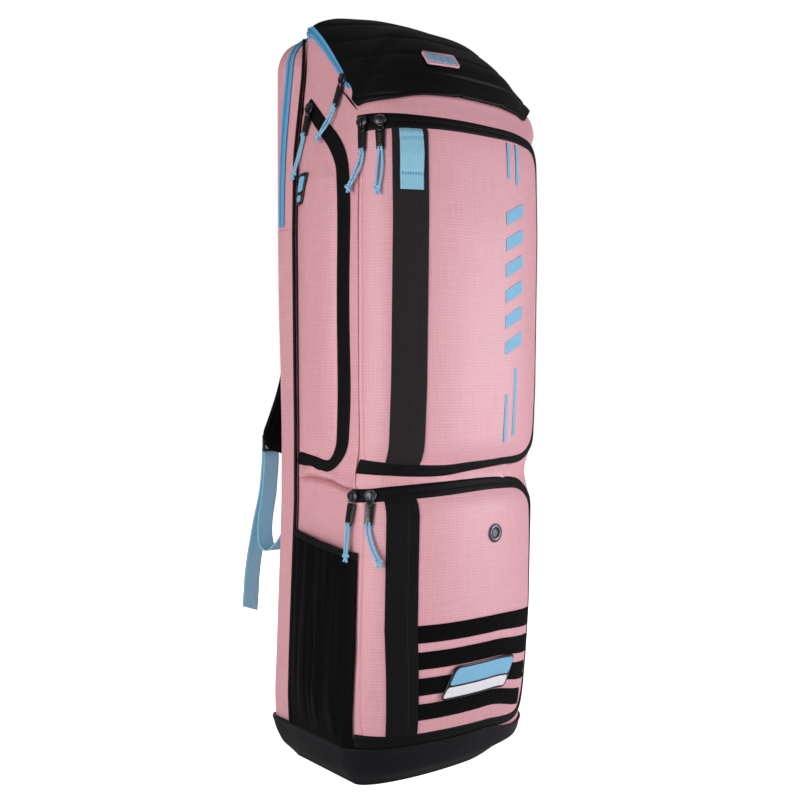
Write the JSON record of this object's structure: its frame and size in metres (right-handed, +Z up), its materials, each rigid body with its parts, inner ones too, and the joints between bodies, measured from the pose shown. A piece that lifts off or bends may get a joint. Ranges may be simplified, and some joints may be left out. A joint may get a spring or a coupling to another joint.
{
  "type": "hockey stick bag",
  "caption": "Tall upright hockey stick bag with a D-shaped body, padded zip lid, zipped front pockets, mesh side pocket, stick compartment at the back and shoulder straps.",
  "frame": {"origin": "on the flat underside of the foot, midway between the straight sides of the body above it", "axes": "+Z up the bag, -Y out of the front pockets, +Y out of the back with the shoulder straps, -X towards the side with the mesh pocket"},
  "size_m": [0.3266, 0.3155, 0.9969],
  "materials": {
    "pink_cloth": "woven ripstop",
    "black_cloth": "smooth padded cloth",
    "boot_cloth": "matt coated cloth",
    "black_zip": "coated zip tape",
    "blue_zip": "coil zip tape",
    "black_webbing": "woven webbing",
    "blue_webbing": "woven webbing",
    "mesh_cloth": "stretch mesh",
    "hook_tape": "loop pile",
    "blue_cord": "braided cord",
    "black_plastic": "moulded",
    "black_metal": "black coated",
    "patch_rubber": "moulded soft patch",
    "badge_rubber": "moulded soft badge"
  },
  "bodies": {
    "root": {"base_boot": "boot_cloth", "main_body": "pink_cloth", "lid": "black_cloth", "lid_zip": "blue_zip", "stick_compartment": "pink_cloth", "stick_zip": "blue_zip", "piping_left": "black_cloth", "piping_right": "black_cloth", "upper_pocket": "pink_cloth", "lower_pocket": "pink_cloth", "upper_zip": "black_zip", "lower_zip": "black_zip", "side_pocket": "pink_cloth", "side_zip": "black_zip", "side_tag": "black_plastic", "mesh_pocket": "mesh_cloth", "mesh_binding": "black_webbing", "webbing_upper": "black_webbing", "webbing_lower": "black_webbing", "front_loop": "blue_webbing", "eyelet": "black_metal", "hook_strip_1": "hook_tape", "hook_strip_2": "hook_tape", "hook_strip_3": "hook_tape", "hook_strip_4": "hook_tape", "patch": "patch_rubber", "lid_badge": "badge_rubber", "slider_upper_left": "black_metal", "tab_upper_left": "black_plastic", "cord_upper_left": "blue_cord", "slider_upper_right": "black_metal", "tab_upper_right": "black_plastic", "cord_upper_right": "blue_cord", "slider_lower_left": "black_metal", "tab_lower_left": "black_plastic", "cord_lower_left": "blue_cord", "slider_lower_right": "black_metal", "tab_lower_right": "black_plastic", "cord_lower_right": "blue_cord", "slider_lid": "black_metal", "tab_lid": "black_plastic", "cord_lid": "blue_cord", "slider_side": "black_metal", "tab_side": "black_plastic", "cord_side": "blue_cord", "strap_pad_left": "black_cloth", "strap_buckle_left": "black_plastic", "strap_webbing_left": "blue_webbing", "strap_tail_left": "blue_webbing", "strap_pad_right": "black_cloth", "strap_buckle_right": "black_plastic", "strap_webbing_right": "blue_webbing", "strap_tail_right": "blue_webbing"}
  },
  "joints": []
}
